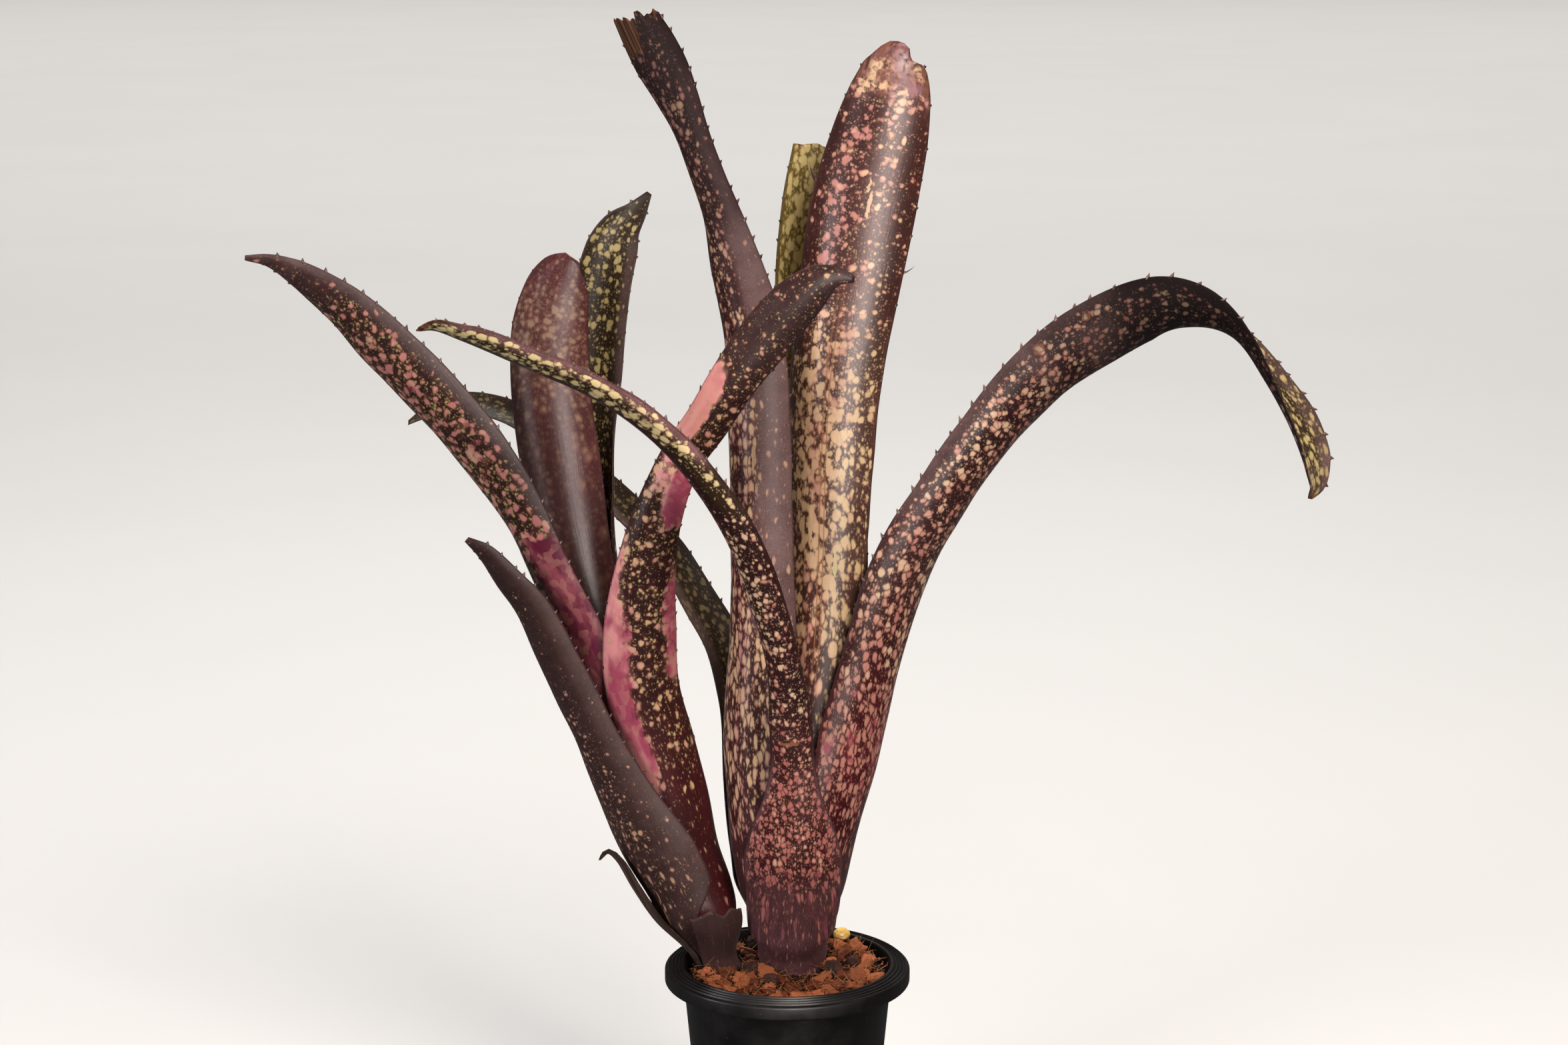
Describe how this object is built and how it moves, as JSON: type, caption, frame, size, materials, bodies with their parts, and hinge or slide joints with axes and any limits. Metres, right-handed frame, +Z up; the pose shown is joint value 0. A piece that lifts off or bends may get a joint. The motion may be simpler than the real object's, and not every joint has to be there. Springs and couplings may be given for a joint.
{
  "type": "potted hallelujah billbergia",
  "caption": "Tubular bromeliad with strap leaves, spotted skin and toothed margins, standing in a round plastic nursery pot.",
  "frame": {"origin": "centre of the pot's base, on the surface that it stands on", "axes": "+Z up, +X to the right and +Y away from the front that the picture shows"},
  "size_m": [0.3877, 0.1722, 0.4296],
  "materials": {
    "pot_plastic": "fine matte moulded plastic with faint turned ridges",
    "potting_mix": "damp crumbly coir and bark",
    "husk": "dry fibrous orange-brown husk chips",
    "crown": "pale woody stem and wiry roots",
    "bark_nugget": "rough dark bark",
    "feed_pellet": "smooth yellow coated pellet",
    "leaf_pink": "satin leathery skin, dark maroon under pink and cream spots",
    "leaf_dark": "satin leathery skin, dark purple-brown with small pink-cream spots",
    "leaf_olive": "satin leathery skin, dark olive with pale yellow spots",
    "leaf_grey": "grey-mauve scurfy skin with small cream spots",
    "leaf_dried": "dry brown papery leaf"
  },
  "bodies": {
    "root": {"pot": "pot_plastic", "potting_mix": "potting_mix", "husk_chips": "husk", "crown_and_rhizome": "crown", "nugget_1": "bark_nugget", "nugget_2": "bark_nugget", "nugget_3": "bark_nugget", "nugget_4": "bark_nugget", "nugget_5": "bark_nugget", "feed_pellet": "feed_pellet", "leaf_main_front": "leaf_pink", "leaf_main_left": "leaf_dark", "leaf_main_centre": "leaf_pink", "leaf_main_back": "leaf_olive", "leaf_main_right": "leaf_dark", "leaf_main_far": "leaf_olive", "leaf_offset_outer": "leaf_grey", "leaf_offset_cross": "leaf_pink", "leaf_offset_long": "leaf_dark", "leaf_offset_upright": "leaf_dark", "leaf_offset_pointed": "leaf_olive", "leaf_offset_dried": "leaf_dried", "leaf_offset_stub": "leaf_grey"}
  },
  "joints": []
}
